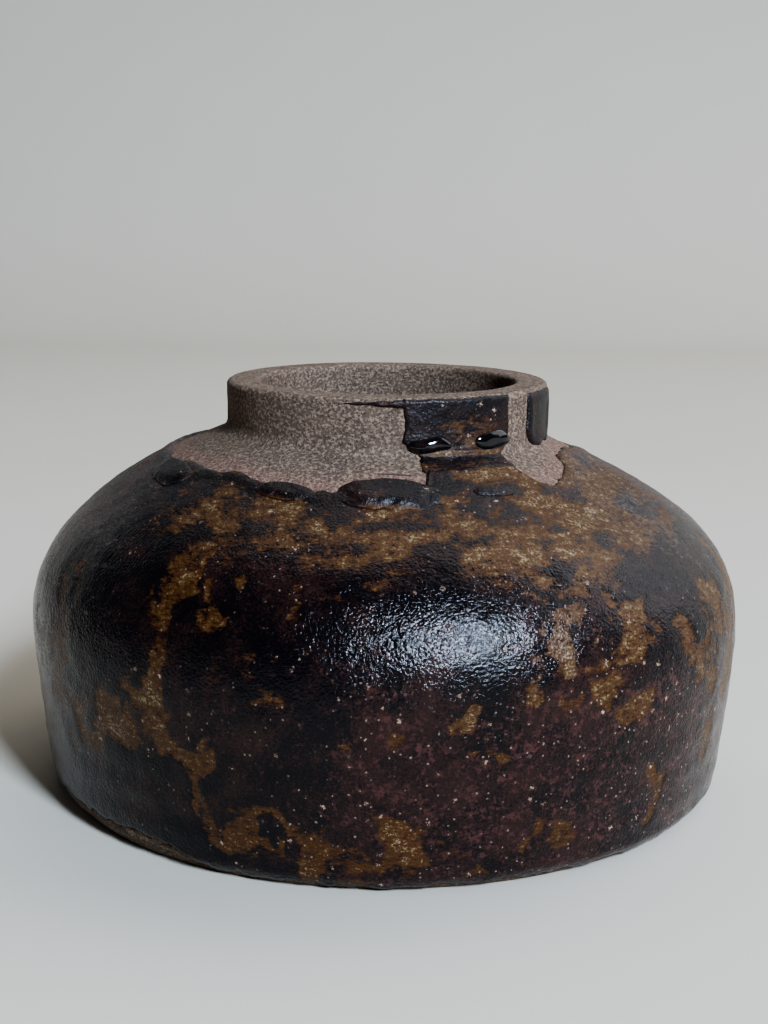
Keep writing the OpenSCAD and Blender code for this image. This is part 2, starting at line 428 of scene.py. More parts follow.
# Thin places of the glaze: azimuth, height, half width, half height, strength. A negative one is a dark spot.
THIN_PLACES = (
    # the stream that falls from the shoulder on the left and spreads towards the side
    (-31, 44, 5, 3, 0.8), (-31, 40, 3, 3, 0.9), (-33, 35, 2.6, 4, 0.8), (-34, 29, 2.6, 4, 0.8),
    (-35, 24, 3.4, 3.5, 1), (-41, 20, 5, 3, 1), (-49, 18.5, 6, 4, 0.95), (-58, 23, 3.6, 7, 0.85),
    (-58, 33, 2, 6, 0.6), (-67, 25, 5, 6, 0.8), (-74, 16, 5, 4, 0.8), (-38, 22, 1.5, 1.2, -0.8),
    (-47, 21, 1.2, 1.6, -0.8),
    # its lower arm, which runs down and along the foot to the front
    (-31, 19, 3.4, 2.6, 1), (-28, 16, 2.4, 2, 1), (-27, 12, 1.5, 3, 0.9), (-24, 8, 2, 2, 0.8),
    (-21, 6, 3, 1.4, 0.9), (-16, 8, 5.4, 3.4, 1), (-16, 7.4, 2.6, 1.5, -1.2), (-10, 5.5, 2.6, 1.8, 0.9),
    (-5, 4.6, 2.6, 1.2, 0.8), (-1, 4.5, 2.6, 1.2, 0.8), (2, 8, 3.2, 3, 1),
    # single spots on the left and in the middle; the strong one at azimuth 11.5, height 27.5 is partly a thin
    # place and partly painted reflection, pale just under the window's highlight
    (-25.5, 35.5, 1.7, 1.8, 0.8), (-15, 38, 1.5, 1.2, 0.6), (-21, 30, 4, 1.2, 0.5), (-17, 27, 2, 1.4, 0.5),
    (-1, 22, 2.4, 0.8, 0.9), (11.5, 27.5, 2.8, 1.8, 1.3), (14, 20, 2.2, 1.4, 0.9),
    # spots on the right
    (24, 29.5, 3.6, 2.8, 1), (25, 34, 1.5, 3.4, 0.8), (31, 31, 2.4, 1.6, 0.8), (37, 33, 3.4, 3, 0.95),
    (42, 35, 2, 3.4, 0.95), (33, 26, 3.2, 3, 0.95), (40, 23, 2.6, 3, 0.95), (28, 24, 1.3, 1, 0.8),
    (50, 28, 2.6, 3.4, 0.9), (56, 27, 2.4, 6, 0.9), (62, 31, 3, 5, 0.9), (69, 24, 4, 7, 0.95),
    (76, 35, 4, 5, 0.9), (58, 14, 3, 3, 0.8), (45, 9.5, 1.4, 3.6, 0.9), (43, 6.5, 1.2, 1.2, 0.8),
    (17, 5, 2, 1.2, 0.8), (22, 6, 1.5, 1.4, 0.8), (27, 6.5, 1.6, 1.6, 0.8), (10, 4.6, 4, 1, 0.6),
    (30, 39, 3, 2.4, 0.8), (36, 40, 3, 2, 0.7), (24, 41, 2.4, 1.4, -0.7), (20, 44, 4, 2, -0.6),
    (4, 40, 3, 2, -0.7), (-19, 45, 4, 1.2, -0.7), (-10, 45, 5, 1, -0.5), (28, 42, 4, 2, -0.8),
    # the back, in the same hand
    (128, 20, 8, 2.4, 0.9), (121, 27, 2.4, 7, 0.8), (139, 14, 2.4, 6, 0.8), (-166, 14, 9, 2.4, 0.9),
    (-152, 33, 2.6, 6, 0.8), (168, 36, 2.6, 6, 0.8), (-108, 17, 8, 2.6, 0.9), (-96, 37, 3, 5, 0.7),
    (100, 9, 8, 2, 0.8), (80, 30, 4, 6, 0.8), (92, 20, 5, 3, 0.9), (104, 34, 3, 4, 0.8),
    (118, 12, 4, 3, 0.9), (130, 27, 5, 4, 0.9), (146, 36, 3, 3, 0.8), (158, 18, 4, 6, 0.8),
    (172, 8, 6, 2, 0.9), (-172, 30, 4, 3, 0.8), (-158, 22, 3, 6, 0.9), (-144, 12, 5, 3, 0.8),
    (-130, 32, 3, 5, 0.8), (-116, 22, 5, 3, 0.9), (-102, 10, 5, 2, 0.8), (-90, 28, 3, 6, 0.8),
    (-78, 12, 4, 3, 0.7),
)

# Lower edge of the streaked amber band on the shoulder: azimuth, height.
BAND_EDGE = (
    (-180, 42), (-140, 44), (-100, 45), (-70, 46), (-40, 44), (-28, 43), (-18, 42), (-10, 40), (0, 39.5),
    (10, 42), (18, 41), (26, 38), (34, 38), (42, 41), (55, 42), (75, 41), (100, 43), (130, 42), (180, 42),
)


def round_the_jar(table, azimuth):
    """Value of a closed table at an azimuth, with a smoothstep between its entries."""
    keys, values = np.array(table).T
    i = np.clip(np.searchsorted(keys, azimuth, "right") - 1, 0, len(keys) - 2)
    blend = smoothstep(0, 1, (azimuth - keys[i]) / (keys[i + 1] - keys[i]))
    return values[i] + (values[i + 1] - values[i]) * blend


def turn(azimuth, centre):
    """Signed angle from a centre to an azimuth, from -180 to 180."""
    return (azimuth - centre + 180) % 360 - 180


def thin_field(azimuth, r, z, points):
    """How thin the glaze is, 0 to 1: ragged spots q = hypot(dx / w, dz / h) < 1, and the shoulder's band,
    which is fainter on the left shoulder and fuller on the right one."""
    raggedness, growth = 3.0, 1.15
    ragged_x = raggedness * noise(points, 4.4, 11, 4)
    ragged_z = raggedness * noise(points, 4.4, 12, 4)
    total = np.zeros(azimuth.shape)
    for centre, height, wide, high, strength in THIN_PLACES:
        dx = np.radians(turn(azimuth, centre)) * r + ragged_x
        q = np.hypot(dx / (wide * growth), (z - height + ragged_z) / (high * growth))
        spot = strength * smoothstep(1.25, 0.6, q)
        total = np.maximum(total, spot) if strength > 0 else total + spot
    edge = round_the_jar(BAND_EDGE, azimuth) + 2.5 * noise(points, 9, 13, 3)
    streaks = noise(points * (1, 1, 2.4), 6, 14, 4)
    faint_left = 0.3 * window(-88, -70, -50, -35, azimuth)
    full_right = 0.22 * window(24, 44, 80, 100, azimuth)
    strength = 0.8 + 0.2 * smoothstep(85, 50, np.abs(turn(azimuth, 8))) - faint_left
    band = smoothstep(-2.5, 2.5, z - edge) * np.clip(0.5 + full_right + 0.85 * streaks, 0, 1) * strength
    return np.clip(np.maximum(total, band), 0, 1)


def coat_fields(azimuth, r, z, points):
    """The attributes of the coat: thin; veil, a grey-brown dry film of glaze with painted sheen on the sides
    of the shoulder, weaker on the left; and warm where the lower front is mottled with oxblood."""
    # painted sheen: the sides of the shoulder, left and right of the front, take the grey-brown colour, less
    # on the left
    side = smoothstep(26, 62, np.abs(turn(azimuth, -6)))
    side = side * (1 - 0.25 * smoothstep(-20, -36, azimuth)) * (1 - 0.35 * window(20, 40, 70, 100, azimuth))
    veil = np.clip(side * smoothstep(24, 44, z) + 0.35 * noise(points, 12, 21, 2) * side, 0, 1)
    warm = window(-24, 16, 60, 150, azimuth) * smoothstep(32, 20, z)
    warm = np.clip(warm + 0.25 + 0.5 * noise(points, 14, 22, 2), 0, 1)
    return {"thin": thin_field(azimuth, r, z, points), "veil": veil, "warm": warm}


def orange_peel(points, z):
    """Height of the coat's surface, mm: throwing rings, slow swells and the fine dimples of the melt."""
    rings = 0.05 * np.sin(2 * pi * z / 4.6 + 1.5 * noise(points, 30, 31)) * smoothstep(26, 10, z)
    swells = 0.17 * noise(points, 16, 32, 2)
    return rings + swells + 0.06 * noise(points, 2.6, 33) + 0.03 * noise(points, 1.2, 34)


def clay_grain(points):
    """Height of the bare clay's surface, mm: slow unevenness, dragged grog and single grains."""
    slow, dragged = 0.10 * noise(points, 9, 41, 2), 0.04 * noise(points * (1, 1, 1.5), 1.3, 42)
    return slow + dragged + 0.02 * noise(points, 0.8, 43)


# ---------------------------------------------------------------- materials


class Signal:
    """A value in a node tree. Sums and products of signals and numbers add Math nodes."""

    def __init__(self, look, socket):
        self.look, self.socket = look, socket

    def _math(self, operation, a, b):
        return self.look.add("ShaderNodeMath", {"operation": operation}, {0: a, 1: b})

    def __add__(self, other):
        return self._math("ADD", self, other)

    __radd__ = __add__

    def __sub__(self, other):
        return self._math("SUBTRACT", self, other)

    def __rsub__(self, other):
        return self._math("SUBTRACT", other, self)

    def __mul__(self, other):
        return self._math("MULTIPLY", self, other)

    __rmul__ = __mul__

    def ramp(self, low, high):
        """0 below low, 1 above high, smooth between; low may be above high."""
        flipped = low > high
        ends = {"Value": self, "From Min": min(low, high), "From Max": max(low, high)}
        ends.update({"To Min": 1.0 if flipped else 0.0, "To Max": 0.0 if flipped else 1.0})
        return self.look.add("ShaderNodeMapRange", {"interpolation_type": "SMOOTHSTEP"}, ends)


class Look:
    """A material being written: every node is made by add."""

    def __init__(self, name, finish):
        self.material = bpy.data.materials.new(name)
        self.material.use_nodes = True
        self.tree = self.material.node_tree
        self.shader = self.tree.nodes["Principled BSDF"]
        for key, value in finish.items():
            self.shader.inputs[key].default_value = value
        self.coordinates = self.add("ShaderNodeTexCoord", output="Object")

    def add(self, kind, settings=None, inputs=None, output=0):
        """A new node of a kind, with its settings made first, then its inputs set or linked."""
        node = self.tree.nodes.new(kind)
        for key, value in (settings or {}).items():
            setattr(node, key, value)
        for key, value in (inputs or {}).items():
            if isinstance(value, Signal):
                self.tree.links.new(value.socket, node.inputs[key])
            else:
                node.inputs[key].default_value = value
        return Signal(self, node.outputs[output])

    def attribute(self, name):
        """A float attribute of the piece."""
        return self.add("ShaderNodeAttribute", {"attribute_name": name}, output="Fac")

    def stretched(self, x, y, z):
        """Object coordinates multiplied axis by axis."""
        factors = {0: self.coordinates, 1: (x, y, z)}
        return self.add("ShaderNodeVectorMath", {"operation": "MULTIPLY"}, factors)

    def grain(self, size, detail=2.0, roughness=0.5, where=None):
        """Noise from 0 to 1 with features of a size in millimetres."""
        inputs = {"Vector": where or self.coordinates, "Scale": 1 / (size * MM)}
        inputs.update({"Detail": detail, "Roughness": roughness})
        return self.add("ShaderNodeTexNoise", None, inputs)

    def cells(self, size, output="Distance"):
        """Distance to the nearest of scattered points, or that cell's random colour."""
        inputs = {"Vector": self.coordinates, "Scale": 1 / (size * MM)}
        return self.add("ShaderNodeTexVoronoi", {"feature": "F1"}, inputs, output)

    def mix(self, factor, a, b):
        """Colour a where the factor is 0 and b where it is 1."""
        ends = [tuple(c) + (1.0,) if not isinstance(c, Signal) else c for c in (a, b)]
        return self.add("ShaderNodeMix", {"data_type": "RGBA"}, {0: factor, 6: ends[0], 7: ends[1]}, 2)

    def bump(self, height, depth, below=None):
        """Normal of a surface raised by height times a depth in millimetres."""
        inputs = {"Height": height, "Distance": depth * MM, "Strength": 1.0}
        if below:
            inputs["Normal"] = below
        return self.add("ShaderNodeBump", None, inputs)

    def feed(self, **sockets):
        """Links signals to the shader: base_color feeds Base Color, and so on."""
        for key, value in sockets.items():
            self.tree.links.new(value.socket, self.shader.inputs[key.replace("_", " ").title()])
        return self.material


def specks(look, size, reach, share_of_cells, ragged):
    """Scattered small specks: near a cell's point, in the share of cells whose random red is highest."""
    near = (look.cells(size) + ragged * 0.9).ramp(reach, reach * 0.4)
    red = look.add("ShaderNodeSeparateColor", None, {0: look.cells(size, "Color")})
    return near * red.ramp(1 - share_of_cells, 1 - share_of_cells * 0.7)


def coat_material(name):
    """Thick black glaze that goes rust, amber, ochre and pale as the attribute thin grows, is given a
    grey-brown dry film and painted sheen by the attribute veil, and mottled with oxblood by the attribute
    warm."""
    glaze = bpy.context.scene.jar_glaze
    look = Look(name, {"IOR": 1.41})
    thin, veil, warm = look.attribute("thin"), look.attribute("veil"), look.attribute("warm")
    flat = look.stretched(1, 1, 1.5)
    broad = look.grain(3.2, 6, 0.68, flat) - 0.5
    lace = look.grain(1.1, 5, 0.75, look.stretched(1, 1, 2.8)) - 0.5
    fine = look.grain(0.35, 3, 0.7) - 0.5
    bare = thin * 0.95 + broad * 1.8 + lace * 2.0
    height = look.add("ShaderNodeSeparateXYZ", None, {0: look.coordinates}, "Z")
    # the thick glaze
    wine = (look.grain(7, 6, 0.65) + fine * 0.8 + warm * 0.12).ramp(0.46, 0.74)
    base = look.mix(wine, glaze.black, glaze.wine)
    mottle = (look.grain(0.9, 4, 0.72) + broad * 0.7 + fine * 0.4 + warm * 0.12).ramp(0.6, 0.84)
    base = look.mix(mottle * (warm * 0.85 + 0.15), base, glaze.oxblood)
    # the thin places, which are redder near the foot and freckled with rust
    base = look.mix(bare.ramp(0.42, 0.72) * 0.9, base, glaze.rust)
    base = look.mix((bare + fine * 0.5).ramp(0.6, 0.88), base, glaze.amber)
    low = height.ramp(0.028, 0.006) * 0.26
    base = look.mix((bare + lace * 0.6 + fine * 0.5 - low).ramp(0.82, 1.3), base, glaze.ochre)
    freckles = (fine + lace * 0.7).ramp(0.05, -0.13) * bare.ramp(0.65, 1.0)
    base = look.mix(freckles * 0.8, base, glaze.rust)
    base = look.mix((bare + fine * 2.4).ramp(1.12, 1.55) * 0.85, base, glaze.pale)
    # the veil: a grey-brown dry film with painted sheen, weaker over thin glaze
    film_and_sheen = (veil + broad * 1.2 + lace * 1.6 + fine * 1.3).ramp(0.4, 1.1) * (1 - bare.ramp(0.6, 1.0) * 0.6)
    base = look.mix(film_and_sheen * 0.6, base, glaze.veil)
    # the specks, which crowd in clouds
    crowd = (look.grain(6, 4, 0.6) + warm * 0.2 + thin * 0.08 - veil * 0.1).ramp(0.47, 0.7)
    big = specks(look, 1.9, 0.16, 0.34, fine) * crowd
    small = specks(look, 0.7, 0.27, 0.28, fine) * crowd
    halo = specks(look, 1.9, 0.34, 0.34, fine) * crowd
    base = look.mix(halo * 0.5, base, glaze.rust)
    base = look.mix(small * 0.4, base, glaze.speck)
    base = look.mix(big * 0.7, base, glaze.speck)
    # the surface, which is drier on the shoulder
    rough = glaze.gloss + bare.ramp(0.3, 0.9) * 0.22 + film_and_sheen * 0.2 + height.ramp(0.040, 0.047) * 0.26
    dimples = look.grain(0.42, 2, 0.55)
    swells = look.grain(2.0, 3, 0.5)
    normal = look.bump(swells, 0.12)
    normal = look.bump(dimples * (film_and_sheen * 0.9 + 1.0) + lace * 0.3 + big * 0.2, 0.145, normal)
    return look.feed(base_color=base, roughness=rough, normal=normal)


def pool_material(name):
    """Clear black melt of the pools, smooth as glass."""
    glaze = bpy.context.scene.jar_glaze
    look = Look(name, {"IOR": 1.5, "Roughness": 0.09, "Coat Weight": 0.3, "Coat Roughness": 0.03})
    base = look.mix(look.grain(2.0, 3).ramp(0.5, 0.8), glaze.black, glaze.wine)
    return look.feed(base_color=base, normal=look.bump(look.grain(1.6, 1), 0.05))


def clay_material(name):
    """Grogged clay: pale and dark grains in the body colour, with a pink flush as the attribute flush says
    and painted shade, a dark line, where the attribute crease_shade is high."""
    clay = bpy.context.scene.jar_clay
    look = Look(name, {"IOR": 1.4, "Specular IOR Level": 0.25})
    dragged = look.stretched(1, 1, 1.2)
    coarse = look.grain(0.5, 2.5, 0.55, dragged)
    fine = look.grain(0.26, 3, 0.65)
    cloud = look.grain(8, 3)
    flush = (look.attribute("flush") + (cloud - 0.5) * 0.7).ramp(0.25, 1.0)
    base = look.mix(cloud.ramp(0.35, 0.7) * 0.3, clay.body, clay.dark)
    base = look.mix(flush * 0.7, base, clay.flush)
    pale = (coarse + (fine - 0.5) * 0.5).ramp(0.46, 0.63)
    base = look.mix(pale * 0.66, base, clay.light)
    pitted = (look.grain(0.42, 3, 0.65, dragged) + (fine - 0.5) * 0.5).ramp(0.46, 0.33)
    base = look.mix(pitted * 0.6, base, clay.dark)
    # painted shade: a dark line in the shallow groove at the front of the bare band
    base = look.mix(look.attribute("crease_shade").ramp(0.25, 0.6) * 0.9, base, clay.dark)
    rough = 0.8 + (fine - 0.5) * 0.3
    normal = look.bump(coarse + fine * 0.5 - pitted * 0.4, 0.13)
    return look.feed(base_color=base, roughness=rough, normal=normal)


def floor_material(name):
    """Pale matt floor with the faintest unevenness."""
    look = Look(name, {"Specular IOR Level": 0.2})
    tone = bpy.context.scene.jar_stage.floor
    shade = tuple(0.97 * c for c in tone)
    base = look.mix(look.grain(60, 3), shade, tone)
    return look.feed(base_color=base, roughness=0.8 + look.grain(30, 2) * 0.1)


def material(name, write):
    """The material of a name, written when it is first asked for."""
    return bpy.data.materials.get(name) or write(name)


def dress(piece, surface, slot, *nodes):
    """Gives a new piece its material and its place on the body, and hides the CAD nodes it stands for."""
    piece.data.materials.append(surface)
    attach(piece, "root")
    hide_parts(*nodes)


# ---------------------------------------------------------------- operators


class JAR_OT_clay(bpy.types.Operator):
    """Makes the clay of the shoulder and neck, of the foot and of the lower bowl"""

    bl_idname = "jar.clay"
    bl_label = "Clay body"

    def execute(self, context):
        shape = shape_in_mm()
        grogged = material("grogged_clay", clay_material)
        self.neck(shape, grogged)
        self.foot(shape, grogged)
        self.lower(shape, grogged)
        return {"FINISHED"}

    def lower(self, shape, grogged):
        """The lower bowl under the glaze: up its outside from the floor joint and down its inside."""
        outer, inner = outer_outline(shape), inner_outline(shape)
        low, high, under_coat = shape.floor_thickness - 0.4, shape.belly_height + 0.8, -0.1
        up = outer.at(np.linspace(outer.at_height(low), outer.at_height(high), 40), under_coat)
        down = inner.at(np.linspace(inner.at_height(high), inner.at_height(low), 24))
        r, z = (np.concatenate(pair)[:, None] for pair in zip(up, down))
        azimuth = np.linspace(-180, 180, 240, endpoint=False)[None, :]
        piece = turned_ring("lower_bowl_clay", place(shape, azimuth, r, z))
        dress(piece, grogged, "clay", "lower_bowl", "foot_joint_slip", "belly_joint_slip")

    def neck(self, shape, grogged):
        """One skin up the shoulder, the fillet and the neck, over the rim, down the mouth and under the
        shoulder. Rows are dense where clay is bare. The rim's edges are rounded by a quarter circle. A
        shallow groove runs along the bare band in front, and crease_shade paints it dark as shade."""
        outer, inner = outer_outline(shape), inner_outline(shape)
        belly, line = outer.at_height(shape.belly_height), outer.at_height(48.3)
        edge = 0.7
        up = np.concatenate([
            np.linspace(belly, line, 14, endpoint=False),
            np.linspace(line, outer.s[-1] - edge, 84),
        ])
        parts = [outer.at(up)]
        turn_angle = np.linspace(0, pi / 2, 6)[1:]
        parts.append((
            shape.neck_radius - edge + edge * np.cos(turn_angle),
            shape.pot_height - edge + edge * np.sin(turn_angle),
        ))
        flat = np.linspace(shape.neck_radius - edge, shape.mouth_radius + edge, 14)[1:-1]
        parts.append((flat, np.full(flat.shape, shape.pot_height)))
        parts.append((
            shape.mouth_radius + edge - edge * np.cos(turn_angle[::-1]),
            shape.pot_height - edge + edge * np.sin(turn_angle[::-1]),
        ))
        lip = inner.z[-1]
        down = np.linspace(shape.pot_height - edge, lip, 34)
        parts.append((np.full(down.shape, shape.mouth_radius), down))
        parts.append(inner.at(np.linspace(inner.s[-1], inner.at_height(shape.belly_height), 14)))
        r = np.concatenate([p[0] for p in parts])
        z = np.concatenate([p[1] for p in parts])
        azimuth, r, z = np.broadcast_arrays(round_azimuths(576), r[:, None], z[:, None])
        points = place(shape, azimuth, r, z)
        normal = np.cross(np.roll(points, -1, 1) - np.roll(points, 1, 1), np.gradient(points, axis=0))
        normal /= np.linalg.norm(normal, axis=-1, keepdims=True)
        bare = smoothstep(47, 48.3, z) * smoothstep(lip - 1, lip, z)
        on_rim = smoothstep(shape.pot_height - 0.5, shape.pot_height, z)
        off_line = np.abs(r - 28.6 + 0.25 * noise(points, 3, 44))
        # crease_shade: painted shade along a shallow groove on the bare clay just above the large glaze roll
        crease_shade = smoothstep(0.3, 0.05, off_line) * window(-4, -1, 6, 8, azimuth)
        rise = clay_grain(points) * bare * (1 - 0.65 * on_rim) - 0.15 * crease_shade
        points = points + normal * rise[..., None]
        line_r = round_the_jar(GLAZE_LINE, azimuth)
        flush = smoothstep(5.5, 0.5, line_r - r) * smoothstep(shape.pot_height - 5, 52, z)
        piece = turned_ring("shoulder_and_neck_clay", points, {"flush": flush, "crease_shade": crease_shade})
        dress(piece, grogged, "clay", "upper_bowl", "neck_ring", "neck_joint_coil", "neck_joint_slip")

    def foot(self, shape, grogged):
        """The floor slab: recess, standing ring and bevel below, plain disc above."""
        recess, ring, top = 0.8, 38, shape.floor_thickness
        outer = outer_outline(shape)
        corners = np.array([
            (0, recess), (20, recess), (ring - recess, recess), (ring, 0), (shape.foot_radius - 0.3, 0),
            (shape.foot_radius, 0.15), (shape.heel_radius, shape.heel_height),
            (outer.at(outer.at_height(top))[0] - 0.15, top), (0, top),
        ])
        sides = len(corners) - 1
        steps = np.linspace(0, sides, 8 * sides + 1)
        r = np.interp(steps, range(len(corners)), corners[:, 0])[:, None]
        z = np.interp(steps, range(len(corners)), corners[:, 1])[:, None]
        azimuth = np.linspace(-180, 180, 480, endpoint=False)[None, :]
        points = place(shape, azimuth, r, z)
        lifted = smoothstep(0.1, 1.5, z)[..., None] * 0.08
        points = points + lifted * noise(points, 1.5, 51, 2)[..., None]
        points[..., 2] = np.maximum(points[..., 2], 0)
        piece = turned_disc("turned_foot", points)
        dress(piece, grogged, "clay", "floor_slab")


class JAR_OT_coat(bpy.types.Operator):
    """Makes the coat of glaze on the outside, from the foot to its wavy line on the shoulder"""

    bl_idname = "jar.coat"
    bl_label = "Glaze coat"

    def execute(self, context):
        """Rows run from the foot line to the glaze line, crowd at the glaze line, and come back inside the
        clay. Thickness = swell * dome(d / edge) at a distance d from either line."""
        skin = Skin(shape_in_mm())
        full = context.scene.jar_glaze.thickness / MM
        foot_line, bare_rise, foot_wave, line_wave = 0.5, 3.0, 0.9, 0.45
        rows, crowding = 146, 0.35
        top_edge, foot_edge, sunk, back_depth = 1.3, 0.7, 0.05, 0.4
        azimuth = round_azimuths(632)
        ring = place(skin.shape, azimuth[0], 50.0, 0.0)
        high = skin.arc(round_the_jar(GLAZE_LINE, azimuth) + line_wave * noise(ring, 4, 61, 3))
        low = skin.path.at_height(foot_line) + bare_rise * window(-78, -62, -36, -24, azimuth)
        low = low + foot_wave * np.abs(noise(ring, 4, 62, 3))
        v = np.linspace(0, 1, rows)[:, None]
        v = (v + crowding * (1 - (1 - v) ** 2)) / (1 + crowding)
        s = low + (high - low) * v
        z = skin.path.at(s)[1]
        fields = skin.fields(azimuth, s)
        swell = full * (0.95 + 0.5 * smoothstep(3.2, 0.6, high - s)) + orange_peel(skin.points(azimuth, s), z)
        swell = np.maximum(swell - 0.12 * fields["thin"], 0.2)
        rounding = dome((high - s) / top_edge) * dome((s - low) / foot_edge)
        front = skin.points(azimuth, s, swell * rounding - sunk)
        back = skin.points(azimuth, low + (high - low) * np.linspace(1, 0, 8)[:, None], -back_depth)
        values = {key: np.concatenate([value, np.zeros(back.shape[:2])]) for key, value in fields.items()}
        piece = turned_ring("glaze_coat", np.concatenate([front, back]), values)
        dress(piece, material("iron_glaze", coat_material), "glaze", "outer_glaze")
        return {"FINISHED"}


class JAR_OT_splash(bpy.types.Operator):
    """Makes the splash over the neck, its two pools and the run beside it"""

    bl_idname = "jar.splash"
    bl_label = "Splash and run"

    # Side, azimuth, half length in mm, mm above the foot of the neck, height in mm
    POOLS = (("left", 14, 3.1, 0.3, 0.85), ("right", 37.5, 3.3, 0.7, 0.6))

    def execute(self, context):
        skin = Skin(shape_in_mm())
        foot = skin.neck_foot
        self.splash(skin, foot, skin.rim)
        for side, centre, half, up, tall in self.POOLS:
            height = self.pool(skin, centre, foot + up, half, tall)
            azimuths = np.linspace(centre - 12, centre + 12, 100)
            arcs = np.linspace(foot - 2.5, foot + 3, 60)
            piece = skin.patch(f"splash_pool_{side}", azimuths, arcs, height, 0.3)
            dress(piece, material("pooled_glaze", pool_material), "glaze", f"splash_pool_{side}")
        self.run(skin, foot, skin.rim)
        return {"FINISHED"}

    def splash(self, skin, foot, rim):
        """d is the distance in mm to the nearest edge: left, right or rim, and it runs out to the left in a
        thin line under the rim. Height = full * dome(d / 0.5), and sinks into the coat below."""
        full = 0.4
        radius = skin.shape.neck_radius

        def inside(azimuth, s, points):
            wave = 0.45 * noise(points, 2.2, 71, 3)
            on_neck = smoothstep(foot - 1.5, foot + 1, s)
            left = 10.5 - 5 * on_neck
            right = 41 + 4 * on_neck
            across = np.minimum(azimuth - left, right - azimuth) * radians(1) * radius
            across = across + wave * (1 - 0.4 * on_neck)
            below_rim = rim - 0.2 - s + 0.3 * wave
            line_half = -0.1 + 0.55 * smoothstep(-19, 4, azimuth)
            line = np.where(azimuth < 8, line_half - np.abs(rim - 0.85 - s) + wave * 0.55, -1.0)
            return np.maximum(np.minimum(across, below_rim), line)

        def height(azimuth, s):
            points = skin.points(azimuth, s)
            d = inside(azimuth, s, points)
            lumpy = full * (1 + 0.4 * noise(points, 4, 72, 2)) + 0.05 * noise(points, 1.1, 73, 2)
            lip = 0.22 * smoothstep(0.9, 0.1, np.abs(s - foot + 0.7)) * smoothstep(9, 14, azimuth)
            into_coat = smoothstep(foot - 3.4, foot - 6, s)
            solid = (lumpy + lip) * dome(d / 0.5) + into_coat * (0.35 - 0.9 * into_coat)
            return np.where(d > 0, solid, np.maximum(d, -0.3)) - 0.02

        def values(azimuth, s):
            fields = skin.fields(azimuth, s)
            on_neck = smoothstep(foot - 0.3, foot + 0.3, s)
            centre = window(13, 26, 38, 45, azimuth) * smoothstep(rim - 1.2, rim - 4, s)
            under_pools = smoothstep(0.5, 0.1, np.abs(s - foot + 1.0)) * smoothstep(9, 12, azimuth)
            shade = smoothstep(0.9, 0.3, np.abs(s - foot + 2.2))
            shoulder = (0.5 - 0.5 * shade) + under_pools
            thin = on_neck * centre * 0.62 + (1 - on_neck) * shoulder
            fields["thin"] = np.clip(thin + 0.2 * noise(skin.points(azimuth, s), 3, 74, 2), 0, 1)
            # painted sheen and a little dry film: the splash's left part on the neck takes some veil
            fields["veil"] = 0.25 * on_neck * smoothstep(20, 8, azimuth)
            fields["warm"] = 0.3 * np.ones(s.shape)
            return fields

        azimuths = np.linspace(-20, 50, 320)
        arcs = np.linspace(foot - 6, rim - 0.1, 150)
        piece = skin.patch("neck_splash", azimuths, arcs, height, values=values)
        dress(piece, material("iron_glaze", coat_material), "glaze", "neck_glaze_splash")

    def pool(self, skin, centre, arc, half, tall):
        """A bead: height = tall * sqrt(1 - (x / half)**2.2 - (y / low)**2), with a wandering outline."""
        low = 1.2

        def height(azimuth, s):
            x = radians(1) * (azimuth - centre) * skin.shape.neck_radius
            y = s - arc - 0.25 * np.sin(x)
            ragged = 0.25 * noise(skin.points(azimuth, s), 2, 76)
            q = 1 - np.abs(x / half) ** 2.2 - np.abs(y / low) ** 2 + ragged
            return np.where(q > 0, tall * np.sqrt(np.clip(q, 0, 1)), -0.1)

        return height

    def run(self, skin, foot, rim):
        """A tongue down the neck: a thick dark edge, a thinner middle and a round bottom."""
        left, right, edge, tall = 56.5, 80, 1.3, 0.5
        top, bottom = rim - 0.5, foot - 0.9

        def distance(azimuth, s):
            x = np.minimum(azimuth - left, right - azimuth) * radians(1) * skin.shape.neck_radius
            corner = 2.4
            cx, cy = np.minimum(x, corner), np.minimum(s - bottom, corner)
            ragged = 0.3 * noise(skin.points(azimuth, s), 2.5, 75, 2)
            return np.minimum(corner - np.hypot(corner - cx, corner - cy) + ragged, top - s)

        def height(azimuth, s):
            d = distance(azimuth, s)
            dished = 1 - 0.4 * smoothstep(0.8, 2.6, d)
            return np.where(d > 0, tall * dome(d / edge) * dished, -0.1)

        def values(azimuth, s):
            middle = smoothstep(0.9, 2.2, distance(azimuth, s))
            # the middle of the run is thinner and takes painted sheen through veil
            return {"thin": 0.15 * middle, "veil": 0.15 * middle, "warm": 0.1 * middle}

        azimuths = np.linspace(left - 3, right + 3, 140)
        arcs = np.linspace(bottom - 0.6, top + 0.2, 110)
        piece = skin.patch("neck_run", azimuths, arcs, height, values=values)
        dress(piece, material("iron_glaze", coat_material), "glaze", "neck_glaze_run")


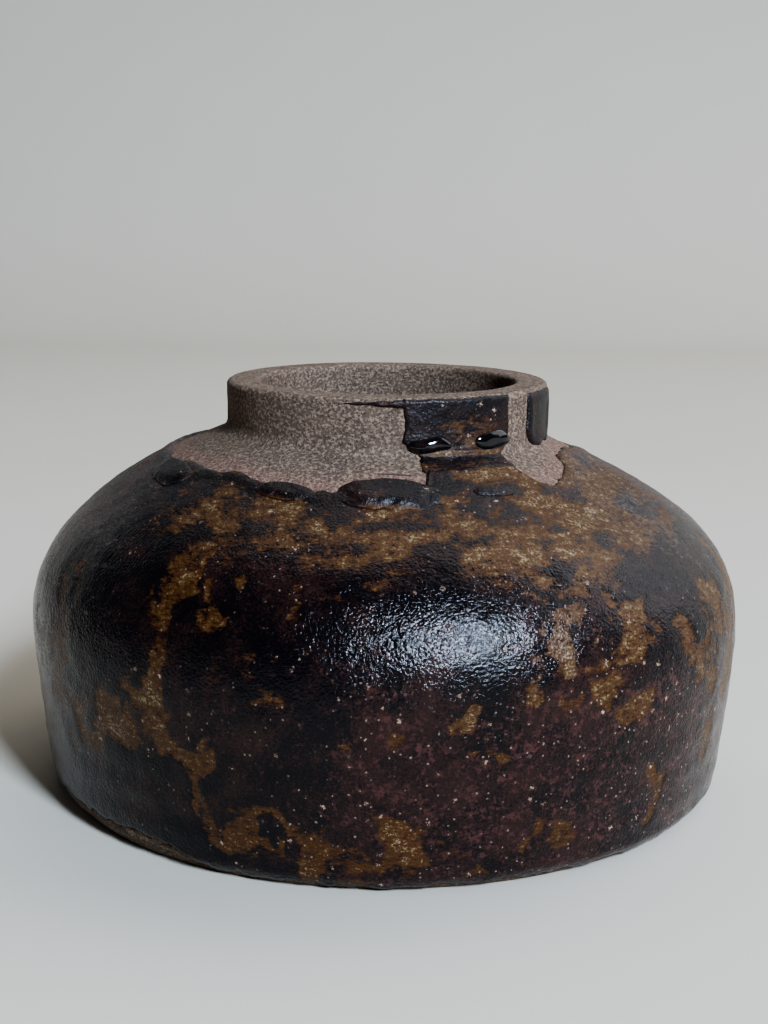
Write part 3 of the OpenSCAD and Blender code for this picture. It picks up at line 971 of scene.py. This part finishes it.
class JAR_OT_rolls(bpy.types.Operator):
    """Makes the thick rolls where the glaze crawled back from its line"""

    bl_idname = "jar.rolls"
    bl_label = "Glaze rolls"

    # Node, azimuth, radius, half length and half width in mm, height in mm
    ROLLS = (
        ("glaze_roll_side", -62, 34.6, 6.2, 2.4, 0.6),
        ("glaze_roll_small", -23.5, 34.0, 4.4, 1.6, 0.65),
        ("glaze_roll_large", 1, 32.9, 7.2, 2.8, 0.95),
        ("glaze_roll_thin", 26.4, 32.6, 3.2, 1.1, 0.45),
    )

    def execute(self, context):
        skin = Skin(shape_in_mm())
        base = context.scene.jar_glaze.thickness / MM * 0.85
        for node, centre, radius, long, wide, tall in self.ROLLS:
            arc = skin.arc(radius)
            q = self.spread(skin, centre, radius, arc, long, wide)
            reach = np.degrees(long / radius) * 1.3
            azimuths = np.linspace(centre - reach, centre + reach, 160)
            arcs = np.linspace(arc - wide * 2.1, arc + wide * 1.3, 100)
            height, values = self.height(skin, q, tall), self.values(skin, q)
            piece = skin.patch(node, azimuths, arcs, height, base, values)
            dress(piece, material("iron_glaze", coat_material), "glaze", node)
        return {"FINISHED"}

    def spread(self, skin, centre, radius, arc, long, wide):
        """q(azimuth, s) is 0 on the roll's crest and 1 at its edge: it grows fast above the crest, which
        bows up in the middle, and slowly below it."""

        def q(azimuth, s):
            x = radians(1) * (azimuth - centre) * radius / long
            y = (s - arc - 0.35 * wide * (1 - x**2)) / wide
            above, below = (np.maximum(y, 0) / 0.5) ** 3, (np.maximum(-y, 0) / 1.7) ** 2
            return x**2 + above + below + 0.2 * noise(skin.points(azimuth, s), 2.4, 81, 2)

        return q

    def height(self, skin, q, tall):
        """tall * smoothstep(1 - q) with small pits, sunk where q passes 1."""

        def height(azimuth, s):
            pits = 0.03 * noise(skin.points(azimuth, s), 1.3, 82, 2)
            amount = q(azimuth, s)
            return tall * smoothstep(1.15, 0.25, amount) + pits - 0.12 - 0.3 * smoothstep(1.0, 1.3, amount)

        return height

    def values(self, skin, q):
        """The coat's attributes, but thick on the roll itself."""

        def values(azimuth, s):
            fields = skin.fields(azimuth, s)
            core = smoothstep(1.0, 0.55, q(azimuth, s))
            fields["thin"] += (0.25 - fields["thin"]) * core
            # less of the dry film and painted sheen of veil on the roll's core
            fields["veil"] += (0.15 - fields["veil"]) * core
            return fields

        return values


class JAR_OT_inside(bpy.types.Operator):
    """Makes the lining and the streak inside the mouth, in the frame's own plain brown thin_glaze"""

    bl_idname = "jar.inside"
    bl_label = "Lining"

    def execute(self, context):
        shape = shape_in_mm()
        washed = bpy.data.materials["thin_glaze"]
        self.lining(shape, washed)
        self.streak(shape, washed)
        return {"FINISHED"}

    def lining(self, shape, washed):
        """Up the inside of floor and wall to the lip with throwing rings, and back behind that skin."""
        coat = 0.3
        skin, back = inner_outline(shape, coat), inner_outline(shape, -0.1)
        floor = shape.floor_thickness
        corner = 4.0
        r_front, z_front = skin.at(np.linspace(skin.s[0] + corner, skin.s[-1], 120))
        t = np.linspace(0, pi / 2, 10)[:-1]
        r_curve = r_front[0] - corner + corner * np.sin(t)
        z_curve = floor + coat + (z_front[0] - floor - coat) * (1 - np.cos(t))
        across = np.linspace(0, r_curve[0], 90)[:-1]
        r_back, z_back = back.at(np.linspace(back.s[-1], back.s[0], 24))
        r = np.concatenate([across, r_curve, r_front, r_back, [0]])[:, None]
        level = np.full(across.shape, floor + coat)
        z = np.concatenate([level, z_curve, z_front, z_back, [floor - 0.1]])[:, None]
        azimuth = np.linspace(-180, 180, 360, endpoint=False)[None, :]
        points = place(shape, azimuth, r, z)
        front = np.arange(len(r)) < len(across) + len(r_curve) + len(r_front) - 3
        spiral = 0.16 * np.sin(2 * pi * r / 6.5 + np.radians(azimuth)) * smoothstep(2, 8, r)
        uneven = spiral * smoothstep(floor + 6, floor + 1, z) + 0.08 * noise(points, 6, 91, 2)
        lift = np.where(front[:, None], uneven, 0)
        points[..., 2] += np.maximum(lift, -coat * 0.5)
        piece = turned_disc("lining", points[::-1])
        dress(piece, washed, "thin_glaze", "lining_glaze")

    def streak(self, shape, washed):
        """A ragged patch on the mouth's wall, from just under the rim down. At a distance d from its edge
        it stands thickness * sqrt(d / edge) out of the wall."""
        azimuth, z = np.meshgrid(np.linspace(70, 106, 120), np.linspace(shape.pot_height - 0.6, 50.2, 70))
        ragged = 1.2 * noise(place(shape, azimuth, shape.mouth_radius, z), 3, 95, 3)
        left, right, top, thickness, edge = 74, 102, shape.pot_height - 1.2, 0.24, 0.6
        x = np.minimum(azimuth - left, right - azimuth) * radians(1) * shape.mouth_radius
        d = np.minimum(x, top - z) + ragged
        r = shape.mouth_radius - np.where(d > 0, thickness * np.sqrt(np.clip(d / edge, 0, 1)), -0.2)
        piece = sheet("mouth_streak", place(shape, azimuth, r, z), d, 0.3, {})
        dress(piece, washed, "thin_glaze", "mouth_glaze_streak")


class JAR_OT_stage(bpy.types.Operator):
    """Makes the floor, the lights and the camera"""

    bl_idname = "jar.stage"
    bl_label = "Stage"

    def execute(self, context):
        stage = context.scene.jar_stage
        self.floor()
        self.lights(stage)
        self.camera(stage)
        return {"FINISHED"}

    def floor(self):
        """A sheet that lies flat, then bends up behind the jar in a quarter circle to a wall."""
        bend, reach, tall, wide = 250, 700, 900, 1500
        t = np.linspace(0, pi / 2, 24)
        y = np.concatenate([[-1200], reach + bend * np.sin(t), [reach + bend]])
        z = np.concatenate([[0], bend * (1 - np.cos(t)), [tall]])
        x = np.linspace(-wide, wide, 3)
        grid = np.stack([np.broadcast_to(x, (len(y), 3)), y[:, None] + 0 * x, z[:, None] + 0 * x], -1)
        sheet = make_object("floor_sheet", grid.reshape(-1, 3), grid_faces(len(y), 3, False, False))
        sheet.data.materials.append(material("pale_floor", floor_material))

    def lights(self, stage):
        """A small cool window in front to the right, a soft light at the right, a wide one overhead and
        a faint even surround."""
        target = Vector((0, 0, 30 * MM))
        plans = (
            ("window", (0.58, -1.15, 0.86), (0.24, 0.40), stage.window, (0.68, 0.81, 1.0)),
            ("side", (1.45, 0.55, 0.95), (1.9, 1.5), stage.side, (0.96, 0.97, 1.0)),
            ("overhead", (0.25, 0.75, 1.6), (1.8, 1.0), stage.fill, (1.0, 0.98, 0.95)),
        )
        for name, spot, size, power, tint in plans:
            lamp = bpy.data.lights.new(name, "AREA")
            lamp.shape = "RECTANGLE"
            lamp.size, lamp.size_y = size
            lamp.energy = power
            lamp.color = tint
            item = bpy.data.objects.new(name, lamp)
            item.location = spot
            item.rotation_euler = (target - Vector(spot)).to_track_quat("-Z", "Y").to_euler()
            bpy.context.scene.collection.objects.link(item)
        world = bpy.data.worlds.new("surround")
        world.use_nodes = True
        world.node_tree.nodes["Background"].inputs["Color"].default_value = (0.93, 0.95, 1.0, 1.0)
        world.node_tree.nodes["Background"].inputs["Strength"].default_value = stage.ambient
        bpy.context.scene.world = world
        bpy.context.scene.view_settings.look = "AgX - High Contrast"

    def camera(self, stage):
        """Looks along +Y, down by the pitch, from in front of the jar."""
        lens = bpy.data.cameras.new("camera")
        lens.sensor_fit = "VERTICAL"
        lens.sensor_height, lens.lens = 36, 56.25
        lens.clip_start = 0.01
        eye = bpy.data.objects.new("camera", lens)
        place_eye = Matrix.Translation((-0.28 * MM, -stage.distance, stage.height))
        tilt = Matrix.Rotation(pi / 2 - stage.pitch, 4, "X")
        eye.matrix_world = place_eye @ tilt @ Matrix.Rotation(stage.roll, 4, "Z")
        bpy.context.scene.collection.objects.link(eye)
        bpy.context.scene.camera = eye


class JAR_PT_panel(bpy.types.Panel):
    """Lists the jar's makers"""

    bl_label = "Glazed jar"
    bl_idname = "JAR_PT_panel"
    bl_space_type = "VIEW_3D"
    bl_region_type = "UI"
    bl_category = "Jar"

    def draw(self, context):
        for operator in OPERATORS:
            self.layout.operator(operator.bl_idname)
        for group in ("jar_shape", "jar_glaze", "jar_clay", "jar_stage"):
            settings = getattr(context.scene, group)
            for name in type(settings).__annotations__:
                self.layout.prop(settings, name)


GROUPS = {"jar_shape": JarShape, "jar_glaze": GlazeLook, "jar_clay": ClayLook, "jar_stage": StageLook}
OPERATORS = (JAR_OT_clay, JAR_OT_coat, JAR_OT_splash, JAR_OT_rolls, JAR_OT_inside, JAR_OT_stage)
CLASSES = (*GROUPS.values(), *OPERATORS, JAR_PT_panel)


def register():
    """Registers the classes and hangs the settings on the scene."""
    for item in CLASSES:
        bpy.utils.register_class(item)
    for name, group in GROUPS.items():
        setattr(bpy.types.Scene, name, bpy.props.PointerProperty(type=group))


def unregister():
    """Takes everything off again."""
    for name in GROUPS:
        delattr(bpy.types.Scene, name)
    for item in reversed(CLASSES):
        bpy.utils.unregister_class(item)


def main():
    """Builds the jar."""
    register()
    bpy.ops.jar.clay()
    bpy.ops.jar.coat()
    bpy.ops.jar.splash()
    bpy.ops.jar.rolls()
    bpy.ops.jar.inside()
    bpy.ops.jar.stage()


if __name__ == "__main__":
    main()
